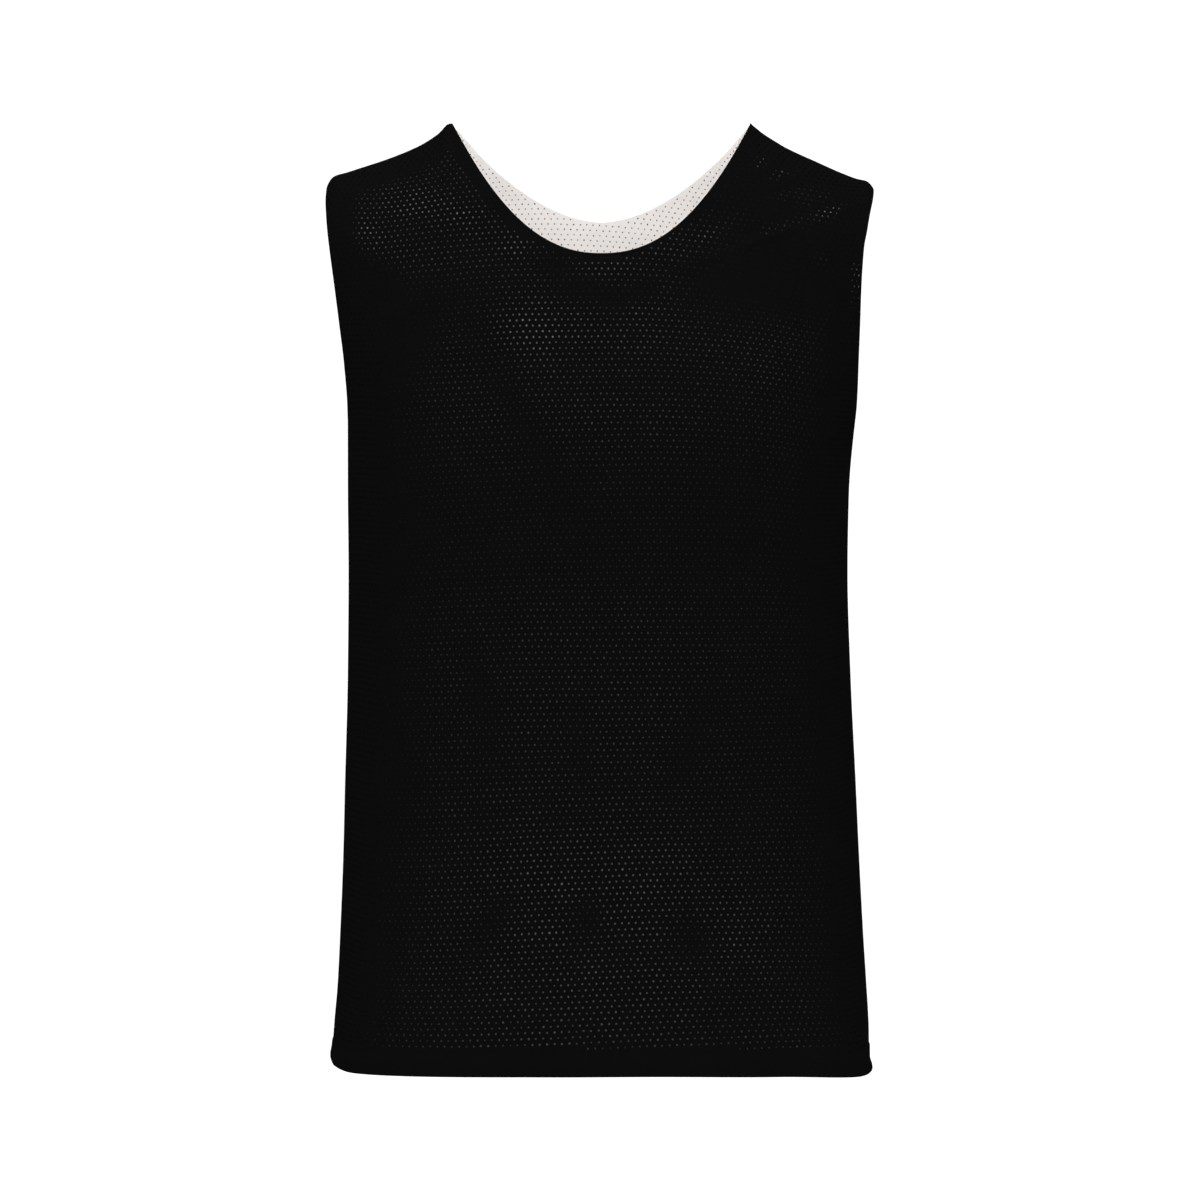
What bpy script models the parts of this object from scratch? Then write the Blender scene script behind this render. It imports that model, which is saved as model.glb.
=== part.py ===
"""Reversible lacrosse jersey, sleeveless, hollow and filled out as when it is worn.

Two tubes of pin-hole mesh, black outside and white inside. Each is sewn from a front and a back
panel at the sides and the shoulders, and every panel is a wall that follows one torso surface.
Metres, +Z up, the front faces -Y. The origin is midway between the neck points, on the line of
the shoulder seams, where the shoulders carry the garment.
"""

import bpy
import numpy as np

# Driving dimensions.
BODY_LENGTH = 0.728  # neck point straight down to the hem
UNDERARM = 0.497  # side seam, from the hem to the underarm
NECK_HALF_WIDTH = 0.1155
NECK_CENTRE = 0.0012  # the neck sits a little to the right
PLY = 0.0010  # wall of one ply of mesh
PLY_GAP = 0.0003  # between the black and the white wall
SEAM_GAP = 0.0003  # between two panels at a seam
HEM_HEIGHT = 0.020  # turned hem, a ply thicker than the rest
HEM_STEP = 0.002  # height over which the hem's extra ply ends
WHITE_HEM_RISE = 0.005  # the white hem stops short of the black one
HEM_DIPS = (0.0015, 0.0045)  # how far the hem hangs lower at the left and the right side seam
HEM_DIP_FADE = 0.040  # height above the hem's band over which its dips fade out
SHOULDER_ROUND = 0.078  # height below the shoulder line over which the cloth turns over it

# Level curves of the torso: height above the hem, half widths to the left and the right of the
# centre line, depths of the front and the back from the side seams, and squareness, where 2 is an
# ellipse. Above the underarm the curves run on round the arms, and the armholes cut them.
RING_COLUMNS = ("height", "left", "right", "front", "back", "square")
RINGS = (
    (0.000, 0.2056, 0.2082, 0.132, 0.129, 3.4),
    (0.009, 0.2073, 0.2084, 0.132, 0.129, 3.4),
    (0.022, 0.2066, 0.2075, 0.130, 0.128, 3.2),
    (0.060, 0.2033, 0.2054, 0.127, 0.124, 2.8),
    (0.100, 0.2014, 0.2032, 0.124, 0.121, 2.6),
    (0.160, 0.1991, 0.2002, 0.120, 0.117, 2.5),
    (0.220, 0.1977, 0.1973, 0.117, 0.112, 2.4),
    (0.300, 0.1957, 0.1933, 0.115, 0.107, 2.35),
    (0.380, 0.1951, 0.1910, 0.114, 0.105, 2.35),
    (0.440, 0.1957, 0.1923, 0.114, 0.106, 2.4),
    (0.497, 0.1956, 0.1967, 0.111, 0.108, 2.45),
    (0.540, 0.2035, 0.2055, 0.102, 0.109, 2.5),
    (0.580, 0.2115, 0.2120, 0.090, 0.106, 2.55),
    (0.620, 0.2190, 0.2180, 0.076, 0.098, 2.6),
    (0.660, 0.2260, 0.2235, 0.061, 0.084, 2.6),
    (0.700, 0.2310, 0.2290, 0.048, 0.068, 2.6),
    (0.750, 0.2350, 0.2340, 0.038, 0.054, 2.6),
)

# Edge of the armholes: height above the hem, and half widths to the left and the right.
ARMHOLE_COLUMNS = ("height", "left", "right")
ARMHOLES = (
    (0.497, 0.1956, 0.1967),
    (0.510, 0.1952, 0.1974),
    (0.540, 0.1964, 0.1981),
    (0.570, 0.1996, 0.1987),
    (0.600, 0.2036, 0.1999),
    (0.630, 0.2080, 0.2016),
    (0.655, 0.2108, 0.2068),
    (0.672, 0.2116, 0.2106),
    (0.688, 0.2085, 0.2085),
)

# Line of the shoulder seams, in front view: distance from the centre line, and height above the
# neck points on the left and the right. It runs on over the neck opening, which cuts it.
SHOULDER_COLUMNS = ("from_centre", "left", "right")
SHOULDERS = (
    (0.0000, 0.0240, 0.0240),
    (0.0600, 0.0200, 0.0200),
    (0.0950, 0.0120, 0.0120),
    (0.1155, 0.0000, 0.0000),
    (0.1250, -0.0060, -0.0080),
    (0.1437, -0.0186, -0.0198),
    (0.1660, -0.0280, -0.0298),
    (0.1870, -0.0344, -0.0388),
    (0.2090, -0.0418, -0.0478),
    (0.2400, -0.0500, -0.0580),
)

# Neck curve of each panel: its depth below the neck points, and its power, where 2 is a parabola.
NECKS = (
    ("front", 0.105, 2.25),
    ("back", 0.070, 1.8),
)

# Largest folds: share of the half girth from the centre line, height above the hem, half width
# and half length of the fold, how far it leans to the right on its way up, and how far it stands
# out, or in where negative.
FOLD_COLUMNS = ("panel", "across", "height", "half_width", "half_length", "lean", "depth")
FOLDS = (
    ("front", -0.34, 0.500, 0.034, 0.110, -0.40, -0.0045),
    ("front", -0.66, 0.560, 0.040, 0.120, 0.35, 0.0040),
    ("front", 0.62, 0.590, 0.050, 0.070, -0.60, -0.0040),
    ("front", -0.43, 0.000, 0.045, 0.170, 0.08, -0.0035),
    ("front", -0.12, 0.000, 0.050, 0.140, -0.05, 0.0030),
    ("front", 0.34, 0.000, 0.050, 0.160, 0.06, -0.0035),
    ("front", 0.68, 0.000, 0.045, 0.120, -0.10, 0.0035),
    ("back", -0.05, 0.330, 0.040, 0.190, 0.05, -0.0060),
    ("back", -0.48, 0.520, 0.045, 0.110, 0.45, 0.0045),
    ("back", 0.50, 0.500, 0.045, 0.120, -0.40, 0.0045),
    ("back", -0.60, 0.000, 0.045, 0.160, 0.10, 0.0040),
    ("back", -0.22, 0.000, 0.045, 0.190, -0.06, -0.0045),
    ("back", 0.20, 0.000, 0.050, 0.150, 0.04, 0.0035),
    ("back", 0.58, 0.000, 0.045, 0.170, -0.08, -0.0040),
)

# Grid of a panel. Rows below the chest are level; those above it fan out to the neck curve and
# the shoulder seams. Columns are shares of the way from the centre line to the panel's side.
LOWER_ROWS = (
    0.000, 0.009, 0.018, 0.020, 0.060, 0.110, 0.165, 0.220, 0.280, 0.340, 0.400, 0.455,
    0.497, 0.4985, 0.503, 0.512, 0.530, 0.560, 0.600,
)
UPPER_ROWS = (0.25, 0.50, 0.70, 0.85, 0.95, 1.00)  # shares of the way to the panel's top
NECK_SHARES = (0.22, 0.43, 0.62, 0.79, 0.92, 1.00)  # of the way from the centre to the neck point
SIDE_SHARES = (0.17, 0.35, 0.53, 0.70, 0.86, 1.00)  # of the way from the neck point to the side
CURVE_SAMPLES = 361
SOLVER_STEPS = 12
STEP = 0.001  # for slopes, as a share and in metres

COLOURS = {"black": (0.0045, 0.0045, 0.005), "white": (0.78, 0.76, 0.755)}
CLOTH_ROUGHNESS = 0.85


def clear_scene():
    for item in list(bpy.data.objects):
        bpy.data.objects.remove(item)


def read(rows, columns, name):
    place = columns.index(name)
    return np.array([row[place] for row in rows])


def smooth(rows, columns, key, name, at):
    """Value of one column at `at` on the other, by a cubic through the rows that overshoots none."""
    x, y = read(rows, columns, key), read(rows, columns, name)
    gap = np.diff(x)
    slope = np.diff(y) / gap
    same_way = slope[1:] * slope[:-1] > 0
    total = np.where(same_way, slope[1:] + slope[:-1], 1.0)
    inner = np.where(same_way, 2.0 * slope[1:] * slope[:-1] / total, 0.0)
    tangent = np.concatenate([slope[:1], inner, slope[-1:]])
    at = np.clip(at, x[0], x[-1])
    i = np.clip(np.searchsorted(x, at, side="right") - 1, 0, len(gap) - 1)
    t = (at - x[i]) / gap[i]
    return (
        y[i] * (1 + 2 * t) * (1 - t) ** 2
        + tangent[i] * gap[i] * t * (1 - t) ** 2
        + y[i + 1] * (3 - 2 * t) * t**2
        + tangent[i + 1] * gap[i] * t**2 * (t - 1)
    )


def by_side(rows, columns, key, at, on_left):
    """The left or the right column, whichever side each point is on."""
    left = smooth(rows, columns, key, "left", at)
    return np.where(on_left, left, smooth(rows, columns, key, "right", at))


def half_ring(panel, height, on_left):
    """One level curve from its centre to its side: x, depth and length along it, for each height."""
    half_width = by_side(RINGS, RING_COLUMNS, "height", height, on_left)[..., None]
    depth = smooth(RINGS, RING_COLUMNS, "height", panel, height)[..., None]
    square = smooth(RINGS, RING_COLUMNS, "height", "square", height)[..., None]
    share = np.sin(np.linspace(0, np.pi / 2, CURVE_SAMPLES))
    x = half_width * share
    y = depth * (1 - share**square) ** (1 / square)
    steps = np.hypot(np.diff(x, axis=-1), np.diff(y, axis=-1))
    length = np.concatenate([np.zeros_like(half_width), np.cumsum(steps, axis=-1)], axis=-1)
    return x, y, length


def each(values, keys, results):
    """Interpolates results over keys at one value for each curve."""
    flat = [
        np.interp(value, key, result)
        for value, key, result in zip(
            values.ravel(),
            keys.reshape(-1, CURVE_SAMPLES),
            results.reshape(-1, CURVE_SAMPLES),
        )
    ]
    return np.array(flat).reshape(values.shape)


def shoulder_line(x):
    """Height of the shoulder seams above the neck points."""
    from_centre = x - NECK_CENTRE
    return by_side(SHOULDERS, SHOULDER_COLUMNS, "from_centre", np.abs(from_centre), x < 0)


def edge_share(panel, height, on_left):
    """How far round the half girth the panel reaches: all of it up to the underarm."""
    x, _, length = half_ring(panel, height, on_left)
    edge = by_side(ARMHOLES, ARMHOLE_COLUMNS, "height", height, on_left)
    reach = each(np.minimum(edge, x[..., -1]), x, length) / length[..., -1]
    return np.where(height < UNDERARM, 1.0, reach)


def folds(panel, across, half_girth, height):
    """How far the folds move the cloth out. They fade to nothing at the side seams."""
    total = np.zeros_like(height)
    for row in FOLDS:
        fold = dict(zip(FOLD_COLUMNS, row))
        if fold["panel"] != panel:
            continue
        up = height - fold["height"]
        sideways = (across - fold["across"]) * half_girth - fold["lean"] * up
        total += fold["depth"] * np.exp(
            -((sideways / fold["half_width"]) ** 2) - (up / fold["half_length"]) ** 2
        )
    return total * (1 - across**4)


def torso_ring(panel, across, height):
    """x and depth of the torso, before it turns over the shoulders.

    `across` is a signed share of the half girth at that height.
    """
    x_curve, y_curve, length = half_ring(panel, height, across < 0)
    along = np.abs(across) * length[..., -1]
    depth = each(along, length, y_curve) + folds(panel, across, length[..., -1], height)
    return np.sign(across) * each(along, length, x_curve), depth


def torso(panel, across, height):
    """Points of the outer surface, and the way out of it at each.

    The depth shrinks to nothing at the shoulder line as a quarter of an ellipse does, and the way
    out is the surface's normal times that shrinkage, which stays finite at the line itself.
    """
    x, depth = torso_ring(panel, across, height)
    below = (shoulder_line(x) + BODY_LENGTH - height) / SHOULDER_ROUND
    below = np.clip(below, 0, 1)
    shrink = np.sqrt(1 - (1 - below) ** 2)

    right, left = np.minimum(across + STEP, 1), np.maximum(across - STEP, -1)
    x_right, depth_right = torso_ring(panel, right, height)
    x_left, depth_left = torso_ring(panel, left, height)
    x_upper, depth_upper = torso_ring(panel, across, height + STEP)
    x_lower, depth_lower = torso_ring(panel, across, height - STEP)
    x_across = (x_right - x_left) / (right - left)
    depth_across = (depth_right - depth_left) / (right - left)
    x_up, depth_up = (x_upper - x_lower) / (2 * STEP), (depth_upper - depth_lower) / (2 * STEP)
    line_slope = (shoulder_line(x + STEP) - shoulder_line(x - STEP)) / (2 * STEP)

    turning = depth * (1 - below) / SHOULDER_ROUND
    side = -1 if panel == "front" else 1
    out_x = -(depth_across * shrink**2 + turning * line_slope * x_across)
    out_y = side * x_across * shrink
    out_z = x_across * turning - shrink**2 * (x_across * depth_up - x_up * depth_across)
    outward = np.stack([out_x, out_y, out_z], axis=-1)
    outward /= np.linalg.norm(outward, axis=-1, keepdims=True)
    return np.stack([x, side * depth * shrink, height - BODY_LENGTH], axis=-1), outward


def panel_top(panel, x):
    """Height of the panel's top edge: the neck curve, and the shoulder seams beside it."""
    drop, power = next(row[1:] for row in NECKS if row[0] == panel)
    from_centre = np.abs(x - NECK_CENTRE) / NECK_HALF_WIDTH
    neck = -drop * (1 - from_centre**power)
    return BODY_LENGTH + np.where(from_centre < 1, neck, shoulder_line(x))


def half_columns(panel, side):
    """Columns of one half, as shares of the way to the panel's side, one of them at the neck."""
    on_left = np.array([side < 0])
    top = np.array([BODY_LENGTH])
    x, _, length = half_ring(panel, top, on_left)
    neck_x = abs(NECK_CENTRE + side * NECK_HALF_WIDTH)
    neck_share = np.interp(neck_x, x[0], length[0]) / length[0, -1]
    neck = neck_share / edge_share(panel, top, on_left)[0]
    outer = neck + (1 - neck) * np.array(SIDE_SHARES)
    return side * np.concatenate([neck * np.array(NECK_SHARES), outer])


def panel_grid(panel, lowest):
    """Points of a panel's outer surface, the way out at each, and the row that each is on.

    A row is a height up to the last level one, and then a share of the way to the panel's top.
    """
    left, right = half_columns(panel, -1), half_columns(panel, 1)
    level = LOWER_ROWS[-1]
    rows = np.concatenate([LOWER_ROWS, level + np.array(UPPER_ROWS)])
    column, row = np.meshgrid(np.concatenate([left[::-1], [0.0], right]), rows)
    dip = np.where(column < 0, HEM_DIPS[0], HEM_DIPS[1]) * column**2
    height = np.maximum(row, lowest) - dip * np.clip(1 - (row - HEM_HEIGHT) / HEM_DIP_FADE, 0, 1)
    for _ in range(SOLVER_STEPS):
        across = column * edge_share(panel, height, column < 0)
        top = panel_top(panel, torso_ring(panel, across, height)[0])
        height = np.where(row > level, level + (row - level) * (top - level), height)
    points, outward = torso(panel, across, height)
    return points, outward, row


def wall_faces(rows, columns):
    """Triangles of a closed wall whose outer grid of points is followed by its inner one.

    Both skins split their quads along the same diagonal, so walls a small gap apart stay so.
    """
    at = np.arange(rows * columns).reshape(rows, columns)
    low_left, low_right = at[:-1, :-1].ravel(), at[:-1, 1:].ravel()
    high_left, high_right = at[1:, :-1].ravel(), at[1:, 1:].ravel()
    lower = np.stack([low_left, low_right, high_right], axis=-1)
    upper = np.stack([low_left, high_right, high_left], axis=-1)
    outer = np.concatenate([lower, upper])
    behind = rows * columns
    rim = np.concatenate([at[0, :-1], at[:-1, -1], at[-1, :0:-1], at[:0:-1, 0]])
    onward = np.roll(rim, -1)
    edge = np.concatenate([
        np.stack([onward, rim, rim + behind], axis=-1),
        np.stack([onward, rim + behind, onward + behind], axis=-1),
    ])
    return np.concatenate([outer, outer[:, ::-1] + behind, edge])


def cloth(name, colour):
    material = bpy.data.materials.new(name)
    material.use_nodes = True
    surface = material.node_tree.nodes["Principled BSDF"]
    surface.inputs["Base Color"].default_value = (*colour, 1.0)
    surface.inputs["Roughness"].default_value = CLOTH_ROUGHNESS
    surface.inputs["Metallic"].default_value = 0.0
    return material


def wall(name, panel, grid, outer, inner, material):
    """Solid between two offsets from the panel's surface, kept clear of the seams' plane."""
    points, outward, _ = grid
    out = -1 if panel == "front" else 1
    skins = []
    for offset in (outer, inner):
        skin = points + outward * offset[..., None]
        skin[..., 1] = out * np.maximum(out * skin[..., 1], SEAM_GAP / 2)
        skins.append(skin.reshape(-1, 3))
    faces = wall_faces(*points.shape[:2])
    if panel == "back":
        faces = faces[:, ::-1]
    mesh = bpy.data.meshes.new(name)
    mesh.from_pydata(np.concatenate(skins).tolist(), [], faces.tolist())
    mesh.materials.append(material)
    mesh.shade_smooth()
    solid = bpy.data.objects.new(name, mesh)
    bpy.context.collection.objects.link(solid)


def black_panel(panel, material):
    """Outer layer. Its hem allowance makes the wall a ply thicker on the outside."""
    grid = panel_grid(panel, 0.0)
    turned_hem = np.where(grid[2] < HEM_HEIGHT - HEM_STEP / 2, PLY, 0.0)
    wall("black_" + panel, panel, grid, turned_hem, np.full_like(turned_hem, -PLY), material)


def white_panel(panel, material):
    """Inner layer, behind the black one. Its hem is thicker on the inside, and a little higher."""
    grid = panel_grid(panel, WHITE_HEM_RISE)
    outer = np.full_like(grid[2], -(PLY + PLY_GAP))
    turned_hem = np.where(grid[2] < HEM_HEIGHT - HEM_STEP / 2, PLY, 0.0)
    wall("white_" + panel, panel, grid, outer, outer - PLY - turned_hem, material)


clear_scene()
black_cloth = cloth("black_cloth", COLOURS["black"])
white_cloth = cloth("white_cloth", COLOURS["white"])
for panel_name in ("front", "back"):
    black_panel(panel_name, black_cloth)
    white_panel(panel_name, white_cloth)
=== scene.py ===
"""Looks of the reversible lacrosse jersey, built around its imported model.

Each of the four panels is one perforated sheet of mesh cloth, cut flat in its own cloth
coordinates, with its seam and hem allowances turned back behind it, and then laid on the same
torso surface as its solid. Cloth coordinates are metres: u runs across the panel from its centre
line, and v runs up along the cloth from the hem. Everything else is in the frame's own metres.
"""

import math

import bpy
import numpy as np
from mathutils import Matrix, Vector
from mathutils.geometry import delaunay_2d_cdt
from mathutils.kdtree import KDTree


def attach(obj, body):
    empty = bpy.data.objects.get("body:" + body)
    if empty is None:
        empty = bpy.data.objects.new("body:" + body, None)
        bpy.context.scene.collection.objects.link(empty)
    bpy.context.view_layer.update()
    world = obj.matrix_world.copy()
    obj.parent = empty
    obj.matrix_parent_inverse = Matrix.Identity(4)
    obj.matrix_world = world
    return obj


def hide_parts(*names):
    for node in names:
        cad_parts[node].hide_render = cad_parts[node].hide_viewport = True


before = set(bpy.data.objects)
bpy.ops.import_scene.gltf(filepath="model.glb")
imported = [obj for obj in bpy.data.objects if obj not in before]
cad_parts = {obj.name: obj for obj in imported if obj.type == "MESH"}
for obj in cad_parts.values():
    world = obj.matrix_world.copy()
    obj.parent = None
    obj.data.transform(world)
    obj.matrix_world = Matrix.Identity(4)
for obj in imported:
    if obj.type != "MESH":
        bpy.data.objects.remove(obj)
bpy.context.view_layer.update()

# Sizes of the garment: the solids' own, with the outline brought a few millimetres nearer to the
# photo's at the hem, the armholes and the shoulders.
BODY_LENGTH = 0.728
UNDERARM = 0.497
NECK_HALF_WIDTH = 0.1155
NECK_CENTRE = 0.0012
HEM_HEIGHT = 0.020
HEM_STEP = 0.002
HEM_ROWS = (0.003, 0.006, 0.009, 0.012, 0.015, 0.018, 0.020)  # of points across its band
HEM_PLY = 0.0008  # how far the hem's band stands proud of the cloth above it
WHITE_HEM_RISE = 0.005
HEM_DROPS = (
    # side, shares of the half girth where it starts and ends, and how far the hem drops there
    (-1, 0.15, 0.45, 0.0009),
    (-1, 0.68, 0.82, -0.0023),
    (1, 0.10, 0.45, 0.0010),
    (1, 0.45, 0.80, 0.0038),
    (1, 0.70, 0.93, -0.0028),
)
HEM_DROP_FADE = 0.040
SHOULDER_ROUND = 0.078
SEAM_LIFT = 0.0009  # by the shoulder seams' allowances
SEAM_LIFT_REACH = 1.3  # neck half widths from the centre, where the lift is whole

RING_COLUMNS = ("height", "left", "right", "front", "back", "square")
RINGS = (
    (-0.006, 0.2047, 0.2082, 0.132, 0.129, 3.4),
    (-0.003, 0.2047, 0.2098, 0.132, 0.129, 3.4),
    (0.000, 0.2047, 0.2098, 0.132, 0.129, 3.4),
    (0.003, 0.2063, 0.2088, 0.132, 0.129, 3.4),
    (0.006, 0.2076, 0.2078, 0.132, 0.129, 3.4),
    (0.009, 0.2077, 0.2078, 0.132, 0.129, 3.4),
    (0.015, 0.2066, 0.2078, 0.131, 0.128, 3.3),
    (0.022, 0.2062, 0.2079, 0.130, 0.128, 3.2),
    (0.034, 0.2054, 0.2077, 0.129, 0.127, 3.1),
    (0.060, 0.2033, 0.2064, 0.127, 0.124, 2.8),
    (0.100, 0.2014, 0.2040, 0.124, 0.121, 2.6),
    (0.160, 0.1991, 0.2009, 0.120, 0.117, 2.5),
    (0.220, 0.1977, 0.1982, 0.117, 0.112, 2.4),
    (0.300, 0.1957, 0.1944, 0.115, 0.107, 2.35),
    (0.380, 0.1951, 0.1921, 0.114, 0.105, 2.35),
    (0.440, 0.1956, 0.1931, 0.114, 0.106, 2.4),
    (0.497, 0.1957, 0.1980, 0.111, 0.108, 2.45),
    (0.540, 0.2035, 0.2055, 0.102, 0.109, 2.5),
    (0.580, 0.2115, 0.2120, 0.090, 0.106, 2.55),
    (0.620, 0.2190, 0.2180, 0.076, 0.098, 2.6),
    (0.660, 0.2260, 0.2235, 0.061, 0.084, 2.6),
    (0.700, 0.2310, 0.2290, 0.048, 0.068, 2.6),
    (0.750, 0.2350, 0.2340, 0.038, 0.054, 2.6),
)
ARMHOLE_COLUMNS = ("height", "left", "right")
ARMHOLES = (
    (0.497, 0.1957, 0.1980),
    (0.510, 0.1954, 0.1987),
    (0.540, 0.1972, 0.1993),
    (0.570, 0.2008, 0.2003),
    (0.600, 0.2047, 0.2013),
    (0.630, 0.2089, 0.2036),
    (0.643, 0.2106, 0.2062),
    (0.655, 0.2118, 0.2084),
    (0.669, 0.2127, 0.2116),
    (0.676, 0.2125, 0.2126),
    (0.688, 0.2113, 0.2130),
)
SHOULDER_COLUMNS = ("from_centre", "left", "right")
SHOULDERS = (
    (0.0000, 0.0240, 0.0240),
    (0.0600, 0.0200, 0.0200),
    (0.0950, 0.0120, 0.0120),
    (0.1155, 0.0005, 0.0008),
    (0.1187, 0.0003, -0.0022),
    (0.1214, -0.0017, -0.0043),
    (0.1251, -0.0062, -0.0074),
    (0.1332, -0.0125, -0.0129),
    (0.1437, -0.0188, -0.0195),
    (0.1660, -0.0280, -0.0298),
    (0.1870, -0.0349, -0.0391),
    (0.1992, -0.0388, -0.0436),
    (0.2047, -0.0402, -0.0447),
    (0.2075, -0.0414, -0.0462),
    (0.2100, -0.0434, -0.0490),
    (0.2120, -0.0466, -0.0526),
    (0.2140, -0.0512, -0.0572),
    (0.2160, -0.0562, -0.0622),
    (0.2400, -0.1150, -0.1250),
)
NECKS = (
    ("front", 0.105, 2.25),
    ("back", 0.070, 1.8),
)
FOLD_COLUMNS = ("panel", "across", "height", "half_width", "half_length", "lean", "depth")
FOLDS = (
    ("front", -0.34, 0.500, 0.034, 0.110, -0.40, -0.0045),
    ("front", -0.66, 0.560, 0.040, 0.120, 0.35, 0.0040),
    ("front", 0.62, 0.590, 0.050, 0.070, -0.60, -0.0040),
    ("front", -0.43, 0.000, 0.045, 0.170, 0.08, -0.0035),
    ("front", -0.12, 0.000, 0.050, 0.140, -0.05, 0.0030),
    ("front", 0.34, 0.000, 0.050, 0.160, 0.06, -0.0035),
    ("front", 0.68, 0.000, 0.045, 0.120, -0.10, 0.0035),
    ("back", -0.05, 0.330, 0.040, 0.190, 0.05, -0.0060),
    ("back", -0.48, 0.520, 0.045, 0.110, 0.45, 0.0045),
    ("back", 0.50, 0.500, 0.045, 0.120, -0.40, 0.0045),
    ("back", -0.60, 0.000, 0.045, 0.160, 0.10, 0.0040),
    ("back", -0.22, 0.000, 0.045, 0.190, -0.06, -0.0045),
    ("back", 0.20, 0.000, 0.050, 0.150, 0.04, 0.0035),
    ("back", 0.58, 0.000, 0.045, 0.170, -0.08, -0.0040),
)

# Finer creases, in the same terms as the folds. The dark ones on the front are where the photo
# has them, and those on the back are of the same kind.
CREASES = (
    ("front", -0.215, 0.488, 0.011, 0.066, -0.50, -0.0015),
    ("front", -0.360, 0.287, 0.009, 0.044, -0.24, -0.0013),
    ("front", -0.064, 0.242, 0.008, 0.034, -0.04, -0.0011),
    ("front", 0.262, 0.246, 0.011, 0.038, 0.36, -0.0016),
    ("front", -0.600, 0.230, 0.008, 0.022, 0.05, -0.0009),
    ("front", -0.325, 0.108, 0.010, 0.034, 0.54, -0.0012),
    ("front", -0.040, 0.112, 0.009, 0.022, 0.30, -0.0011),
    ("front", 0.265, 0.100, 0.012, 0.020, 0.00, -0.0012),
    ("front", 0.560, 0.640, 0.008, 0.030, 2.60, 0.0016),
    ("front", -0.560, 0.560, 0.016, 0.050, 0.55, -0.0018),
    ("front", 0.180, 0.330, 0.020, 0.070, -0.20, 0.0010),
    ("front", -0.180, 0.180, 0.020, 0.060, 0.15, 0.0010),
    ("back", -0.300, 0.420, 0.012, 0.075, -0.55, -0.0024),
    ("back", 0.260, 0.350, 0.010, 0.055, 0.40, -0.0018),
    ("back", 0.080, 0.250, 0.010, 0.045, -0.10, -0.0014),
    ("back", -0.420, 0.220, 0.009, 0.036, 0.30, -0.0013),
    ("back", 0.520, 0.210, 0.010, 0.034, -0.35, -0.0012),
    ("back", -0.120, 0.110, 0.010, 0.028, 0.20, -0.0010),
    ("back", 0.330, 0.100, 0.009, 0.024, -0.40, -0.0010),
    ("back", -0.480, 0.610, 0.012, 0.040, 0.80, 0.0018),
    ("back", 0.500, 0.600, 0.014, 0.045, -0.70, 0.0018),
    ("back", 0.020, 0.560, 0.030, 0.030, 0.00, -0.0020),
)

# Cloth.
PLY = 0.0004  # radius of a turned edge
SKIN_DEPTH = 0.0010  # of the white layer's hidden face behind the black layer's outer one
WHITE_DEPTH = 0.0021  # of the white layer's face inside the garment
HALF_CLOTH = 0.2525  # half of a panel's width, in cloth coordinates
HALF_COLUMNS = 51.9  # pin holes across half a panel
ROW_PITCH = {"black": 0.0046, "white": 0.0043}
HOLE_SIZE = {"black": (0.0012, 0.0015), "white": (0.0011, 0.0014)}  # across and up
HOLE_SIDES = {"black": 8, "white": 6}
HOLE_MARGIN = 0.0015  # between an edge of the cloth and the centre of its nearest hole
HOLE_JITTER = (0.10, 0.09, 0.00010)  # of its size, of its tilt and of its place
STRAND_TILT = {"black": 0.12, "white": 0.06}  # how far the cloth between two holes is rounded
GRAIN_TURN = {"black": 0.0, "white": -0.05}  # of the rows to the right
GRAIN_LEAN = 0.037  # the cloth is cut a little off its grain, to the left on its way up
GRAIN_RISE = (0.032, 0.002)  # of its rows to the right, low and high on the body
GRAIN_BOW = (0.12, -0.32, -0.15)  # of its rows: low on the body, then what the waist and chest add
GRAIN_BOW_STEPS = ((0.26, 0.52), (0.52, 0.64))
GRAIN_SQUEEZE = (0.09, 0.07, 0.50, 0.03)  # below that height and by how much, and above that one
GRAIN_WANDER = (
    # how far the rows wander up and down, and over what lengths across and up
    (0.0012, 0.061, 0.093),
    (0.0010, -0.120, 0.047),
)
LATTICE_HALF_WIDTH = 0.34  # every lattice of points or holes covers this much cloth
LATTICE_HEIGHT = 0.80
LATTICE_BELOW = 4  # rows of it below the hem
EDGE_STEP = 0.0030  # between points along an edge
EDGE_PARTS = 10  # parts of a step, where distances from the edge are measured
TURN_STEPS = 4
LEAST_TURN = 0.75  # keeps a turned edge from reaching far past a sharp corner
MITRE_STEPS = 12
MITRE_SHARE = 0.6  # of an allowance's width, that it keeps from the edge across a corner
MITRE_CUT = 0.8  # of its width, that each step leaves of it there
EVEN_STEPS = 3
INNER_STEP = 0.001  # inward from an edge, to find the way that it faces
SKIN_GRID = 0.0042
SKIN_ROW = 0.866  # between its rows of points, in grid steps
SKIN_MARGIN = 0.0030
SKIN_KEPT = 0.99  # of the margin, that a point of its outline must keep
ALLOWANCES = {"hem": 0.0165, "side": 0.007, "armhole": 0.009, "shoulder": 0.007, "neck": 0.009}
ALLOWANCE_STEPS = (0.2, 0.4, 0.6, 0.8, 1.0)
NECK_TRIM_COLUMNS = ("across", "width")
NECK_TRIM = (
    # how wide the allowance is along the front neck, across the cloth
    (-0.054, 0.0090),
    (-0.040, 0.0052),
    (0.012, 0.0052),
    (0.040, 0.0022),
    (0.058, 0.0028),
    (0.075, 0.0065),
    (0.090, 0.0090),
)
TRIMMED_ARM = 0.606  # how far up the cloth the allowance of one armhole is cut to a narrow strip
TRIMMED_ARM_WIDTH = 0.002
TRIMMED_ARM_ENDS = (0.018, 0.028)
WHITE_NECK_ALLOWANCE = 0.0018
NECK_ROLL = {"black": -0.0005, "white": 0.0006}  # of the back neck's edge, off the cloth
NECK_ROLL_FADE = 6  # points from the shoulder seams
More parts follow.
